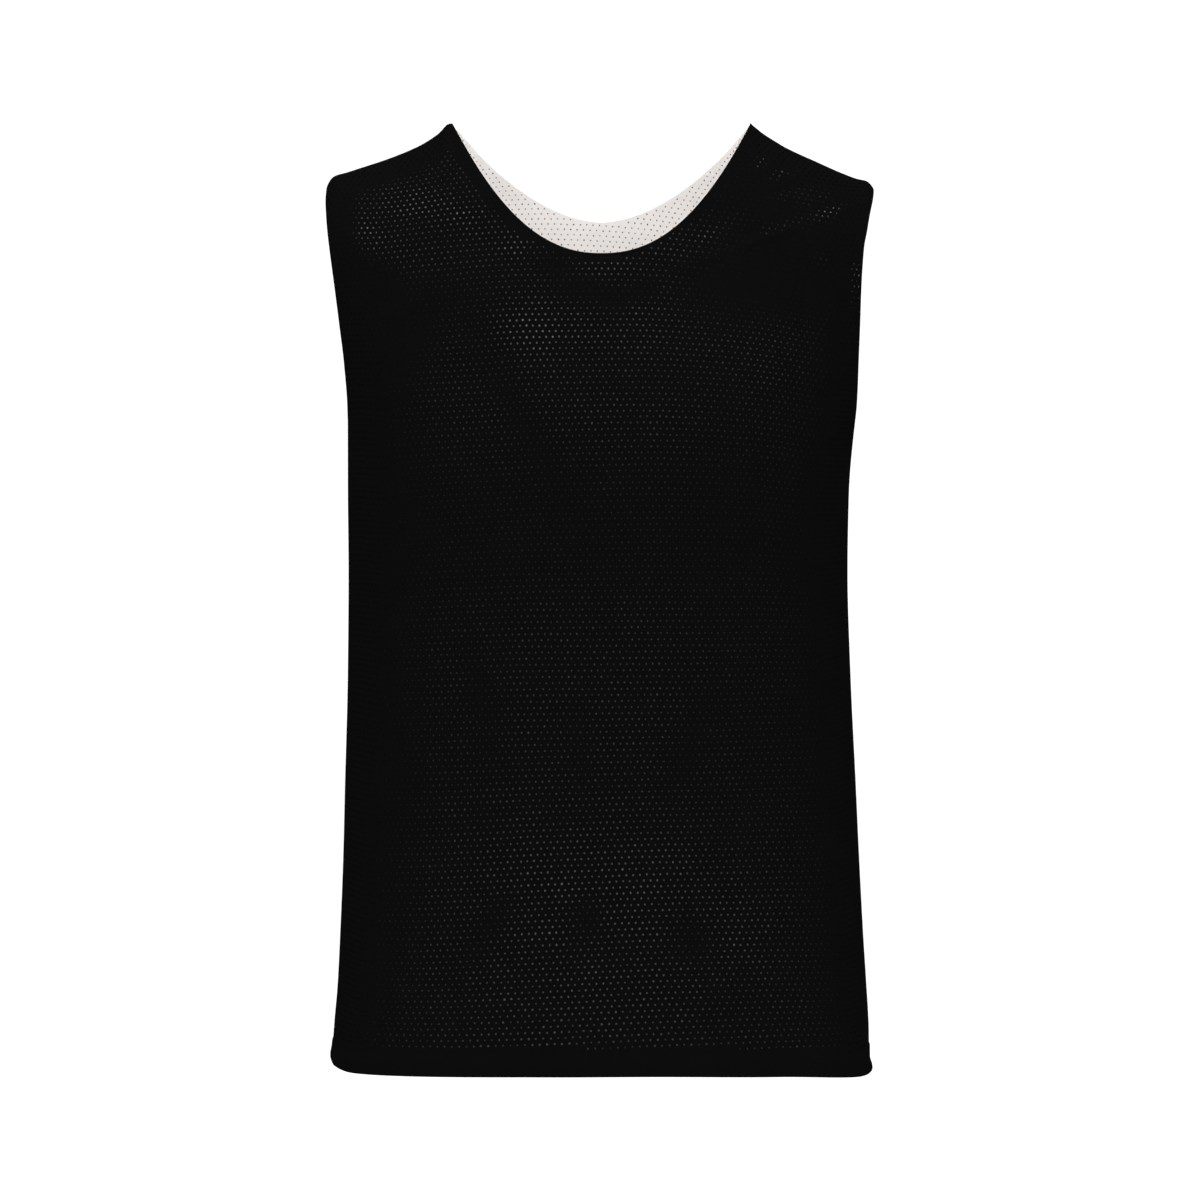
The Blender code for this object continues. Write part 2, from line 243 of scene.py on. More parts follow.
EDGE_ROUND = {"black": 1.0, "white": 0.4}  # how far a turned edge's shading follows its turn
UV_SIDE = 1.2  # side of the square of flat cloth that the UV map covers
UV_PLACE = (0.30, 0.03)  # of the visible face's centre line and hem on it
SKIN_UV_PLACE = (0.90, 0.03)  # of the hidden face's

# Painted light and shade, in the colour of the white layer's hidden face: its pin holes are painted
# pale where the white layer would lie close behind the black one and catch light, and dark where it
# would hang away from it in shade. Each patch is panel, x, height above the hem, half width, half
# height, lean to the right on its way up, and how much paler, or darker where negative.
PAINTED_LIGHT_LEVEL = 0.163
PATCH_EDGE = 1.5  # power of the distance, for a fuller middle than a bell curve's
PAINTED_LIGHT_PATCHES = (
    ("front", -0.184, 0.644, 0.013, 0.009, 0.0, 1.2),
    ("front", -0.160, 0.664, 0.017, 0.013, 0.0, 0.6),
    ("front", -0.138, 0.664, 0.016, 0.012, 0.0, 0.8),
    ("front", -0.100, 0.648, 0.014, 0.010, 0.0, 0.5),
    ("front", -0.118, 0.656, 0.017, 0.012, 0.0, 0.5),
    ("front", -0.098, 0.674, 0.018, 0.016, 0.0, -0.6),
    ("front", -0.168, 0.634, 0.012, 0.010, 0.0, 0.5),
    ("front", -0.063, 0.629, 0.014, 0.009, 0.0, 1.1),
    ("front", -0.130, 0.650, 0.062, 0.042, 0.0, 0.60),
    ("front", -0.053, 0.566, 0.036, 0.022, 0.0, 1.25),
    ("front", 0.015, 0.566, 0.047, 0.016, 0.0, 0.4),
    ("front", 0.045, 0.521, 0.040, 0.016, 0.0, -0.4),
    ("front", 0.030, 0.090, 0.030, 0.010, 0.0, -0.5),
    ("front", -0.030, 0.090, 0.014, 0.010, 0.0, -0.35),
    ("front", 0.000, 0.613, 0.036, 0.011, 0.0, 0.9),
    ("front", 0.030, 0.578, 0.015, 0.009, 0.0, 0.65),
    ("front", 0.068, 0.628, 0.024, 0.011, 1.2, 0.9),
    ("front", -0.130, 0.638, 0.032, 0.012, 0.0, -0.5),
    ("front", 0.128, 0.547, 0.050, 0.030, 0.0, 0.6),
    ("front", 0.000, 0.158, 0.130, 0.022, 0.0, 0.35),
    ("front", 0.010, 0.108, 0.160, 0.060, 0.0, 0.4),
    ("front", 0.104, 0.112, 0.032, 0.032, 0.0, 0.7),
    ("front", -0.0105, 0.1210, 0.011, 0.012, -0.3, -1.2),
    ("front", -0.0780, 0.1165, 0.010, 0.015, 0.3, -0.7),
    ("front", 0.0680, 0.1070, 0.013, 0.014, 0.0, -0.7),
    ("front", 0.015, 0.022, 0.022, 0.007, 0.0, -1.0),
    ("front", -0.176, 0.566, 0.040, 0.038, 0.0, -3.0),
    ("front", -0.178, 0.608, 0.021, 0.016, -0.6, -2.4),
    ("front", -0.098, 0.578, 0.026, 0.024, 0.0, -0.5),
    ("front", -0.034, 0.613, 0.014, 0.010, 0.0, -2.6),
    ("front", -0.016, 0.596, 0.020, 0.009, 0.0, -2.2),
    ("front", 0.012, 0.588, 0.020, 0.009, 0.0, -2.2),
    ("front", 0.036, 0.596, 0.014, 0.008, 0.0, -1.6),
    ("front", 0.127, 0.606, 0.060, 0.029, 0.0, -3.4),
    ("front", 0.143, 0.676, 0.076, 0.036, 0.0, -3.2),
    ("front", 0.158, 0.637, 0.052, 0.018, 0.0, -2.2),
    ("front", 0.000, 0.412, 0.250, 0.062, 0.0, -1.45),
    ("front", 0.000, 0.262, 0.250, 0.080, 0.0, -0.35),
    ("back", 0.000, 0.560, 0.150, 0.030, 0.0, 0.8),
    ("back", -0.090, 0.600, 0.030, 0.018, 0.0, 0.9),
    ("back", 0.110, 0.590, 0.024, 0.016, 0.0, 1.0),
    ("back", -0.020, 0.130, 0.150, 0.060, 0.0, 0.5),
    ("back", 0.150, 0.530, 0.036, 0.036, 0.0, -2.6),
    ("back", -0.160, 0.560, 0.034, 0.034, 0.0, -2.6),
    ("back", 0.000, 0.390, 0.250, 0.070, 0.0, -1.2),
)
# Painted light: runs of a few pale holes, most on the right shoulder: x and height of both ends,
# and how pale.
PAINTED_LIGHT_STREAKS = (
    ("front", 0.1225, 0.6930, 0.1295, 0.7010, 4.0),
    ("front", 0.1350, 0.6850, 0.1515, 0.6905, 4.7),
    ("front", 0.1373, 0.6680, 0.1790, 0.6800, 3.4),
    ("front", 0.1511, 0.6620, 0.1860, 0.6745, 2.8),
    ("front", 0.0800, 0.6360, 0.1100, 0.6540, 1.4),
    ("front", 0.1273, 0.6407, 0.1703, 0.6545, 3.9),
    ("front", 0.1710, 0.6545, 0.1965, 0.6655, 4.3),
    ("front", 0.1641, 0.6184, 0.1856, 0.6207, 1.4),
    ("front", 0.1965, 0.6130, 0.1937, 0.5854, 7.2),
    ("back", -0.1250, 0.6500, -0.1750, 0.6640, 1.2),
    ("back", 0.1100, 0.6600, 0.1650, 0.6500, 1.2),
)
STREAK_WIDTH = 0.0042
# Painted shade: the holes are painted darker along the creases, and towards the shoulder seams, the
# armholes and the sides.
CREASE_SHADE = 1000.0  # how much darker the holes are for each metre of a crease's depth
SHOULDER_FADE = (0.012, 0.026)  # from the shoulder seams
ARMHOLE_FADE = (0.015, 0.029)  # from the armholes' edges
SIDE_FADES = (
    # side, shares of the half girth where it starts and ends, and how much darker
    (-1, 0.15, 0.40, 0.4),
    (-1, 0.42, 0.84, 3.2),
    (1, 0.15, 0.40, 0.7),
    (1, 0.50, 0.90, 2.8),
)
SIDE_FADE_TOP = (0.585, 0.625)  # heights above the hem
ARMHOLE_FADE_DROP = 0.06  # how much lower the armholes' fade ends
FADE = 3.5

# Working grids for the torso surface, and steps of its solvers.
CURVE_SAMPLES = 361
ACROSS = np.linspace(-1, 1, 401)
HEIGHTS = np.arange(-0.010, 0.776, 0.003)
TURNS = np.linspace(0, np.pi / 2, 700)
SHARES = np.linspace(0, 1, 331)
BISECTIONS = 32
TOP_STEPS = 12
TIP_STEPS = 20
TIP_GUESS = 0.68
ARMHOLE_POINTS = 300
SHOULDER_POINTS = 80
NECK_POINTS = 240
SPOTS_AT_ONCE = 2000
CLOSEST_POINTS = 1e-7


def read(rows, columns, name):
    place = columns.index(name)
    return np.array([row[place] for row in rows])


def smooth(rows, columns, key, name, at):
    """Value of one column at `at` on the other, by a cubic through the rows with no overshoot."""
    x, y = read(rows, columns, key), read(rows, columns, name)
    gap = np.diff(x)
    slope = np.diff(y) / gap
    same_way = slope[1:] * slope[:-1] > 0
    total = np.where(same_way, slope[1:] + slope[:-1], 1.0)
    inner = np.where(same_way, 2.0 * slope[1:] * slope[:-1] / total, 0.0)
    tangent = np.concatenate([slope[:1], inner, slope[-1:]])
    at = np.clip(at, x[0], x[-1])
    i = np.clip(np.searchsorted(x, at, side="right") - 1, 0, len(gap) - 1)
    t = (at - x[i]) / gap[i]
    return (
        y[i] * (1 + 2 * t) * (1 - t) ** 2
        + tangent[i] * gap[i] * t * (1 - t) ** 2
        + y[i + 1] * (3 - 2 * t) * t**2
        + tangent[i + 1] * gap[i] * t**2 * (t - 1)
    )


def by_side(rows, columns, key, at, on_left):
    left = smooth(rows, columns, key, "left", at)
    return np.where(on_left, left, smooth(rows, columns, key, "right", at))


def shoulder_line(x):
    """Height of the shoulder seams above the neck points."""
    from_centre = np.abs(x - NECK_CENTRE)
    lift = SEAM_LIFT * soft_step(NECK_HALF_WIDTH, SEAM_LIFT_REACH * NECK_HALF_WIDTH, from_centre)
    return by_side(SHOULDERS, SHOULDER_COLUMNS, "from_centre", from_centre, x < 0) + lift


def soft_step(low, high, value):
    t = np.clip((value - low) / (high - low), 0, 1)
    return t * t * (3 - 2 * t)


def unit(vectors):
    return vectors / np.linalg.norm(vectors, axis=-1, keepdims=True)


def padded(table):
    """The table with a row and a column more all round, for smooth values up to its edges."""
    for _ in range(2):
        before = 3 * (table[:1] - table[1:2]) + table[2:3]
        after = 3 * (table[-1:] - table[-2:-1]) + table[-3:-2]
        table = np.concatenate([before, table, after]).swapaxes(0, 1)
    return table


def weights(t):
    """Of the four grid values round a point, for a curve through them all."""
    return (
        (-t + 2 * t**2 - t**3) / 2,
        (2 - 5 * t**2 + 3 * t**3) / 2,
        (t + 4 * t**2 - 3 * t**3) / 2,
        (t**3 - t**2) / 2,
    )


def look_up(table, row, column):
    """Smooth values of a padded table at fractional rows and columns."""
    i = np.clip(np.floor(row).astype(int), 0, table.shape[0] - 4)
    j = np.clip(np.floor(column).astype(int), 0, table.shape[1] - 4)
    up, across = weights(row - i), weights(column - j)
    total = 0.0
    for m in range(4):
        for n in range(4):
            share = up[m] * across[n]
            values = table[i + m, j + n]
            total = total + (share[..., None] if values.ndim > share.ndim else share) * values
    return total


class Torso:
    """The surface that a panel lies on: part.py's, kept in tables, with the creases added."""

    def __init__(self, panel):
        self.panel = panel
        self.out = -1 if panel == "front" else 1
        self.make_rings()
        self.make_columns()

    def make_rings(self):
        """Tables of x, depth and half girth over height and share of the half girth."""
        x, depth, girth = (np.zeros((len(HEIGHTS), len(ACROSS))) for _ in range(3))
        depths = smooth(RINGS, RING_COLUMNS, "height", self.panel, HEIGHTS)
        square = smooth(RINGS, RING_COLUMNS, "height", "square", HEIGHTS)
        share = np.sin(np.linspace(0, np.pi / 2, CURVE_SAMPLES))
        for side in (-1, 1):
            width = by_side(RINGS, RING_COLUMNS, "height", HEIGHTS, side < 0)
            mine = np.flatnonzero(ACROSS * side >= 0)
            for k in range(len(HEIGHTS)):
                ring_x = width[k] * share
                ring_y = depths[k] * (1 - share ** square[k]) ** (1 / square[k])
                steps = np.hypot(np.diff(ring_x), np.diff(ring_y))
                length = np.concatenate([[0.0], np.cumsum(steps)])
                along = np.abs(ACROSS[mine]) * length[-1]
                x[k, mine] = side * np.interp(along, length, ring_x)
                depth[k, mine] = np.interp(along, length, ring_y)
                girth[k, mine] = length[-1]
        self.x, self.depth, self.girth = padded(x), padded(depth), padded(girth)

    def fold(self, across, half_girth, height, rows):
        """How far the folds or creases move the cloth out."""
        total = np.zeros_like(height)
        for row in rows:
            fold = dict(zip(FOLD_COLUMNS, row))
            if fold["panel"] != self.panel:
                continue
            up = height - fold["height"]
            sideways = (across - fold["across"]) * half_girth - fold["lean"] * up
            total += fold["depth"] * np.exp(
                -((sideways / fold["half_width"]) ** 2) - (up / fold["half_length"]) ** 2
            )
        return total * (1 - across**4)

    def ring(self, across, height):
        """x and depth, before the surface turns over the shoulders."""
        row = (height - HEIGHTS[0]) / (HEIGHTS[1] - HEIGHTS[0])
        column = (across + 1) / 2 * (len(ACROSS) - 1)
        girth = look_up(self.girth, row, column)
        moved = self.fold(across, girth, height, FOLDS + CREASES)
        return look_up(self.x, row, column), look_up(self.depth, row, column) + moved

    def surface(self, across, height):
        x, depth = self.ring(across, height)
        below = np.clip((shoulder_line(x) + BODY_LENGTH - height) / SHOULDER_ROUND, 0, 1)
        shrunk = self.out * depth * np.sqrt(1 - (1 - below) ** 2)
        return np.stack([x, shrunk, height - BODY_LENGTH], axis=-1)

    def make_columns(self):
        """Tables of the surface over share of the half girth and share of the cloth's length."""
        top = np.full(len(ACROSS), BODY_LENGTH)
        for _ in range(TOP_STEPS):
            top = BODY_LENGTH + shoulder_line(self.ring(ACROSS, top)[0])
        drop = sum(step[3] * soft_step(step[1], step[2], step[0] * ACROSS) for step in HEM_DROPS)
        height = top * np.sin(TURNS)[:, None]
        height -= drop * np.clip(1 - (height - HEM_HEIGHT) / HEM_DROP_FADE, 0, 1)
        points = self.surface(np.broadcast_to(ACROSS, height.shape), height)
        steps = np.linalg.norm(np.diff(points, axis=0), axis=-1)
        length = np.concatenate([np.zeros((1, len(ACROSS))), np.cumsum(steps, axis=0)])
        even = np.empty((len(SHARES), len(ACROSS), 3))
        for k in range(len(ACROSS)):
            for axis in range(3):
                at = SHARES * length[-1, k]
                even[:, k, axis] = np.interp(at, length[:, k], points[:, k, axis])
        up, along = np.gradient(even, axis=0), np.gradient(even, axis=1)
        self.top, self.length = top, length[-1]
        self.lengths = padded(length)
        self.points = padded(even)
        self.outward = padded(unit(np.cross(along, up) * -self.out))

    def lay(self, flat, depth):
        """Points of the cloth at a depth behind the outer surface, and the way out at each.

        Cloth of the front stays in front of the seams' plane, and cloth of the back behind it.
        """
        across = np.clip(flat[:, 0] / HALF_CLOTH, -1, 1)
        share = np.clip(flat[:, 1] / np.interp(across, ACROSS, self.length), 0, 1)
        row, column = share * (len(SHARES) - 1), (across + 1) / 2 * (len(ACROSS) - 1)
        outward = unit(look_up(self.outward, row, column))
        points = look_up(self.points, row, column) - outward * np.reshape(depth, (-1, 1))
        points[:, 1] = self.out * np.maximum(self.out * points[:, 1], 0)
        return points, outward

    def to_flat(self, x, height):
        """Cloth coordinates of the points of the surface at these x and heights."""
        low, high = -np.ones_like(x), np.ones_like(x)
        for _ in range(BISECTIONS):
            middle = (low + high) / 2
            under = self.ring(middle, height)[0] < x
            low, high = np.where(under, middle, low), np.where(under, high, middle)
        across = (low + high) / 2
        turn = np.arcsin(np.clip(height / np.interp(across, ACROSS, self.top), 0, 1))
        row = turn / (np.pi / 2) * (len(TURNS) - 1)
        column = (across + 1) / 2 * (len(ACROSS) - 1)
        return np.stack([across * HALF_CLOTH, look_up(self.lengths, row, column)], axis=-1)


def evenly(line, step):
    """The same line with its points an even step apart, both of its ends among them."""
    gaps = np.linalg.norm(np.diff(line, axis=0), axis=1)
    along = np.concatenate([[0.0], np.cumsum(gaps)])
    at = np.linspace(0, along[-1], max(1, round(along[-1] / step)) + 1)
    return np.stack([np.interp(at, along, line[:, k]) for k in (0, 1)], axis=1)


def armhole_edge(side):
    """The armhole's edge from the underarm up to the tip of the shoulder, in x and height."""
    tip = np.array(TIP_GUESS)
    for _ in range(TIP_STEPS):
        x = side * by_side(ARMHOLES, ARMHOLE_COLUMNS, "height", tip, side < 0)
        tip = BODY_LENGTH + shoulder_line(x)
    turn = np.linspace(0, np.pi, ARMHOLE_POINTS)
    height = UNDERARM + (tip - UNDERARM) * (1 - np.cos(turn)) / 2
    return side * by_side(ARMHOLES, ARMHOLE_COLUMNS, "height", height, side < 0), height


def panel_edges(torso, lowest):
    """Names and lines of the edges, anticlockwise round the panel, in cloth coordinates."""
    drop, power = next(row[1:] for row in NECKS if row[0] == torso.panel)
    arms, shoulders, sides = {}, {}, {}
    for side in (-1, 1):
        x, height = armhole_edge(side)
        arms[side] = torso.to_flat(x, height)
        arms[side][0, 0] = side * HALF_CLOTH
        x = np.linspace(x[-1], NECK_CENTRE + side * NECK_HALF_WIDTH, SHOULDER_POINTS)
        seam = torso.to_flat(x, BODY_LENGTH + shoulder_line(x))
        seam[:, 1] = np.interp(seam[:, 0] / HALF_CLOTH, ACROSS, torso.length)
        shoulders[side] = seam
        arms[side][-1] = seam[0]
        sides[side] = np.array([[side * HALF_CLOTH, lowest], arms[side][0]])
    turn = np.linspace(np.pi / 2, -np.pi / 2, NECK_POINTS)
    across = np.sin(turn)
    neck = torso.to_flat(
        NECK_CENTRE + NECK_HALF_WIDTH * across,
        BODY_LENGTH - drop * (1 - np.abs(across) ** power),
    )
    neck[0], neck[-1] = shoulders[1][-1], shoulders[-1][-1]
    hem = np.array([[-HALF_CLOTH, lowest], [HALF_CLOTH, lowest]])
    return (
        ("hem", hem),
        ("side", sides[1]),
        ("armhole", arms[1]),
        ("shoulder", shoulders[1]),
        ("neck", neck),
        ("shoulder", shoulders[-1][::-1]),
        ("armhole", arms[-1][::-1]),
        ("side", sides[-1][::-1]),
    )


def ways_off(outline):
    """The way out of the cloth at each point of a closed outline, longer at its corners."""
    along = unit(np.roll(outline, -1, axis=0) - outline)
    off = np.stack([along[:, 1], -along[:, 0]], axis=1)
    total = unit(off + np.roll(off, 1, axis=0))
    return total / np.maximum((total * off).sum(axis=1, keepdims=True), LEAST_TURN)


def evened(width):
    """Widths along a closed outline, each a little nearer to those beside it."""
    return (np.roll(width, 1) + 2 * width + np.roll(width, -1)) / 4


def panel_outline(torso, layer):
    """Points of the cloth's edge, the way off the cloth at each, and the allowance turned there."""
    lowest = WHITE_HEM_RISE if layer == "white" else 0.0
    lines, widths, rolls = [], [], []
    for name, line in panel_edges(torso, lowest):
        line = evenly(line, EDGE_STEP)[:-1]
        width = np.full(len(line), ALLOWANCES[name])
        roll = np.zeros(len(line))
        if name == "neck" and torso.panel == "front":
            width = smooth(NECK_TRIM, NECK_TRIM_COLUMNS, "across", "width", line[:, 0])
        elif name == "neck":
            count = np.arange(len(line))
            nearest = np.minimum(count, len(line) - count)
            roll = NECK_ROLL[layer] * np.clip(nearest / NECK_ROLL_FADE, 0, 1)
            width = width if layer == "black" else np.full(len(line), WHITE_NECK_ALLOWANCE)
        elif name == "armhole" and torso.panel == "front" and line[0, 0] > 0:
            beside = soft_step(*TRIMMED_ARM_ENDS, np.abs(line[:, 1] - TRIMMED_ARM))
            width = TRIMMED_ARM_WIDTH + (width - TRIMMED_ARM_WIDTH) * beside
        lines.append(line)
        widths.append(width)
        rolls.append(roll)
    outline = np.concatenate(lines)
    off = ways_off(outline)
    width = np.concatenate(widths)
    outline = outline + (np.concatenate(rolls) - PLY)[:, None] * off
    width = evened(evened(width))
    for _ in range(MITRE_STEPS):
        free = clearance(outline - off * width[:, None], outline)
        width = np.where(free < MITRE_SHARE * width, MITRE_CUT * width, width)
    for _ in range(EVEN_STEPS):
        width = np.minimum(width, evened(width))
    return outline, off, width


def is_inside(spots, outline):
    """Whether each spot lies inside a closed outline."""
    start, end = outline, np.roll(outline, -1, axis=0)
    low, high = np.minimum(start[:, 1], end[:, 1]), np.maximum(start[:, 1], end[:, 1])
    slope = (end[:, 0] - start[:, 0]) / np.where(high > low, end[:, 1] - start[:, 1], 1.0)
    result = []
    for some in np.array_split(spots, 1 + len(spots) // SPOTS_AT_ONCE):
        x, y = some[:, :1], some[:, 1:]
        crossed = (y >= low) & (y < high) & (x < start[:, 0] + (y - start[:, 1]) * slope)
        result.append(crossed.sum(axis=1) % 2 == 1)
    return np.concatenate(result)


def clearance(spots, outline):
    """How far inside a closed outline each spot lies, and 0 outside it."""
    shares = np.arange(EDGE_PARTS)[:, None, None] / EDGE_PARTS
    dense = outline + shares * (np.roll(outline, -1, axis=0) - outline)
    tree = KDTree(dense.size // 2)
    for index, (x, y) in enumerate(dense.reshape(-1, 2).tolist()):
        tree.insert((x, y, 0.0), index)
    tree.balance()
    result = np.zeros(len(spots))
    for index in np.flatnonzero(is_inside(spots, outline)):
        x, y = spots[index]
        result[index] = tree.find((x, y, 0.0))[2]
    return result


def lattice(across, up):
    """Spots in staggered rows over more cloth than any panel needs."""
    half = int(LATTICE_HALF_WIDTH / across)
    rows = int(LATTICE_HEIGHT / up)
    column, row = np.meshgrid(np.arange(-half, half + 1), np.arange(-LATTICE_BELOW, rows))
    u = across * (column + 0.5 * (row % 2))
    return np.stack([u.ravel(), (up * (row + 0.5)).ravel()], axis=1)


def row_shift(u, v):
    """How far the rows of holes lie above their even places, as the cloth is stretched and cut."""
    wander = sum(reach * np.sin(u / across + v / up) for reach, across, up in GRAIN_WANDER)
    waist, chest = (soft_step(*step, v) for step in GRAIN_BOW_STEPS)
    bow = GRAIN_BOW[0] + GRAIN_BOW[1] * waist + GRAIN_BOW[2] * chest
    rise = GRAIN_RISE[0] + (GRAIN_RISE[1] - GRAIN_RISE[0]) * waist
    low, low_share, high, high_share = GRAIN_SQUEEZE
    squeeze = low_share * np.maximum(low - v, 0) - high_share * np.maximum(v - high, 0)
    return wander + bow * u**2 + rise * u + squeeze


def pin_holes(outline, layer, random):
    """Corners of every pin hole that lies clear of the edges and above the hem's band."""
    centre = lattice(HALF_CLOTH / HALF_COLUMNS, ROW_PITCH[layer])
    u, v = centre[:, 0], centre[:, 1]
    shift = row_shift(u, v) + GRAIN_TURN[layer] * u
    centre = np.stack([u - GRAIN_LEAN * v, v + shift], axis=1)
    size, tilt, place = HOLE_JITTER
    centre = centre + random.normal(0, place, centre.shape)
    clear = clearance(centre, outline) > HOLE_MARGIN
    clear &= centre[:, 1] > HEM_HEIGHT + HOLE_MARGIN
    centre = centre[clear]
    half = np.array(HOLE_SIZE[layer]) / 2 * (1 + random.normal(0, size, centre.shape))
    turn = random.normal(0, tilt, (len(centre), 1))
    corner = np.arange(HOLE_SIDES[layer]) * 2 * np.pi / HOLE_SIDES[layer]
    x, y = half[:, :1] * np.cos(corner), half[:, 1:] * np.sin(corner)
    corners = np.stack([x - turn * y, y + turn * x], axis=-1)
    return centre[:, None] + corners


def triangulate(outline, holes, spots):
    """Cloth coordinates and triangles of the cloth inside an outline and outside its holes."""
    flat = np.concatenate([outline, holes.reshape(-1, 2), spots])
    owner = np.full(len(flat), -1)
    owner[: len(outline)] = 0
    rim = np.arange(len(outline))
    edges = [np.stack([rim, np.roll(rim, -1)], axis=1)]
    if len(holes):
        ring = len(outline) + np.arange(holes.shape[0] * holes.shape[1]).reshape(holes.shape[:2])
        owner[ring] = 1 + np.arange(len(holes))[:, None]
        edges.append(np.stack([ring, np.roll(ring, -1, axis=1)], axis=-1).reshape(-1, 2))
    corners = [Vector(spot) for spot in flat.tolist()]
    found = delaunay_2d_cdt(corners, np.concatenate(edges).tolist(), [], 0, CLOSEST_POINTS)
    faces = np.array([face[:] for face in found[2]])
    owners = owner[faces]
    alike = (owners[:, 0] == owners[:, 1]) & (owners[:, 1] == owners[:, 2])
    faces = faces[~(alike & (owners[:, 0] > 0))]
    owners = owner[faces]
    on_rim = (owners == 0).all(axis=1)
    outside = ~is_inside(flat[faces[on_rim]].mean(axis=1), outline)
    keep = np.ones(len(faces), bool)
    keep[np.flatnonzero(on_rim)[outside]] = False
    faces = faces[keep]
    a, b, c = (flat[faces[:, k]] for k in range(3))
    area = (b[:, 0] - a[:, 0]) * (c[:, 1] - a[:, 1]) - (b[:, 1] - a[:, 1]) * (c[:, 0] - a[:, 0])
    faces[area < 0] = faces[area < 0][:, ::-1]
    return flat, faces


def sheet_depth(layer, v):
    """Depth of a layer's visible face behind the outer surface. The hem's band is a ply more."""
    band = 1 - soft_step(HEM_HEIGHT - HEM_STEP, HEM_HEIGHT, v)
    return WHITE_DEPTH + HEM_PLY * band if layer == "white" else -HEM_PLY * band


def perforated(torso, layer, outline, random):
    """The panel's visible face, as points, normals, cloth coordinates and triangles."""
    holes = pin_holes(outline, layer, random)
    across = np.arange(-HALF_CLOTH, HALF_CLOTH, 2 * EDGE_STEP)
    rows = [np.stack([across, np.full_like(across, height)], axis=1) for height in HEM_ROWS]
    spots = np.concatenate(rows)
    spots = spots[clearance(spots, outline) > HOLE_MARGIN]
    flat, faces = triangulate(outline, holes, spots)
    points, normals = torso.lay(flat, sheet_depth(layer, flat[:, 1]))
    if layer == "white":
        normals = -normals
    middle = holes.mean(axis=1, keepdims=True)
    toward = unit(middle - holes).reshape(-1, 2) * STRAND_TILT[layer]
    mine = slice(len(outline), len(outline) + len(toward))
    right = unit(np.cross(normals[mine], [0, 0, 1.0]))
    right *= np.sign(right[:, :1])
    up = unit(np.cross(right, normals[mine]))
    up *= np.sign(up[:, 2:])
    normals[mine] = unit(normals[mine] + right * toward[:, :1] + up * toward[:, 1:])
    return points, normals, flat, faces


def turned_edge(torso, layer, outline, off, width):
    """The edge turned back behind the sheet: a half circle, and then the allowance."""
    depth = sheet_depth(layer, outline[:, 1])
    inner, _ = torso.lay(outline - INNER_STEP * off, depth)
    points, outward = torso.lay(outline, depth)
    sideways = unit(points - inner)
    way_in = -1.0 if layer == "white" else 1.0
    rings = []
    for k in range(1, TURN_STEPS + 1):
        turn = math.pi * k / TURN_STEPS
        flat = outline + off * PLY * math.sin(turn)
        behind = depth + way_in * PLY * (1 - math.cos(turn))
        ring, _ = torso.lay(flat, behind)
        turned = sideways * EDGE_ROUND[layer] * math.sin(turn)
        normal = unit(outward * way_in * math.cos(turn) + turned)
        rings.append((ring, normal, outline + off * PLY * turn))
    for share in ALLOWANCE_STEPS:
        reach = (width * share)[:, None]
        flat = outline - off * reach
        ring, normal = torso.lay(flat, depth + way_in * 2 * PLY)
        rings.append((ring, -way_in * normal, outline + off * (PLY * math.pi + reach)))
    return rings


def ring_faces(count, rings, first):
    """Triangles between the outline, which is the points from 0 on, and the rings beyond it."""
    at = [np.arange(count)] + [first + k * count + np.arange(count) for k in range(rings)]
    faces = []
    for inner, outer in zip(at, at[1:]):
        onward, outward = np.roll(inner, -1), np.roll(outer, -1)
        faces.append(np.stack([inner, outer, outward], axis=1))
        faces.append(np.stack([inner, outward, onward], axis=1))
    return np.concatenate(faces)


def painted_patches_and_streaks(name, x, height):
    """Painted light and shade: how much paler or darker the patches and the runs of pale holes make
    a panel's holes.
    """
    total = np.zeros(len(x))
    for panel, at_x, at_height, half_width, half_height, lean, amount in PAINTED_LIGHT_PATCHES:
        if panel == name:
            up = height - at_height
            reach = ((x - at_x - lean * up) / half_width) ** 2 + (up / half_height) ** 2
            total += amount * np.exp(-(reach**PATCH_EDGE))
    for panel, x0, height0, x1, height1, amount in PAINTED_LIGHT_STREAKS:
        if panel == name:
            run = np.array([x1 - x0, height1 - height0])
            gap = np.stack([x - x0, height - height0], axis=1)
            share = np.clip(gap @ run / (run @ run), 0, 1)
            away = np.linalg.norm(gap - share[:, None] * run, axis=1)
            total += amount * np.exp(-((away / STREAK_WIDTH) ** 2))
    return total


def painted_hole_light(torso, flat, points):
    """Painted light and shade: how much of the white layer's colour shows through the black layer's
    holes.
    """
    x, height = points[:, 0], points[:, 2] + BODY_LENGTH
    across = flat[:, 0] / HALF_CLOTH
    total = painted_patches_and_streaks(torso.panel, x, height)
    creases = torso.fold(across, np.full_like(x, HALF_CLOTH), height, CREASES)
    total += CREASE_SHADE * np.minimum(creases, 0)
    low, high = SHOULDER_FADE
    total -= FADE * (1 - soft_step(low, high, BODY_LENGTH + shoulder_line(x) - height))
    arm = by_side(ARMHOLES, ARMHOLE_COLUMNS, "height", height, x < 0)
    near_arm = 1 - soft_step(*ARMHOLE_FADE, arm - np.abs(x))
    total -= FADE * near_arm * soft_step(*SIDE_FADE_TOP, height + ARMHOLE_FADE_DROP)
    below_arms = 1 - soft_step(*SIDE_FADE_TOP, height)
    for side, start, end, amount in SIDE_FADES:
        total -= amount * soft_step(start, end, side * across) * below_arms
    return np.clip(PAINTED_LIGHT_LEVEL * np.exp(total), 0.0, 1.0)


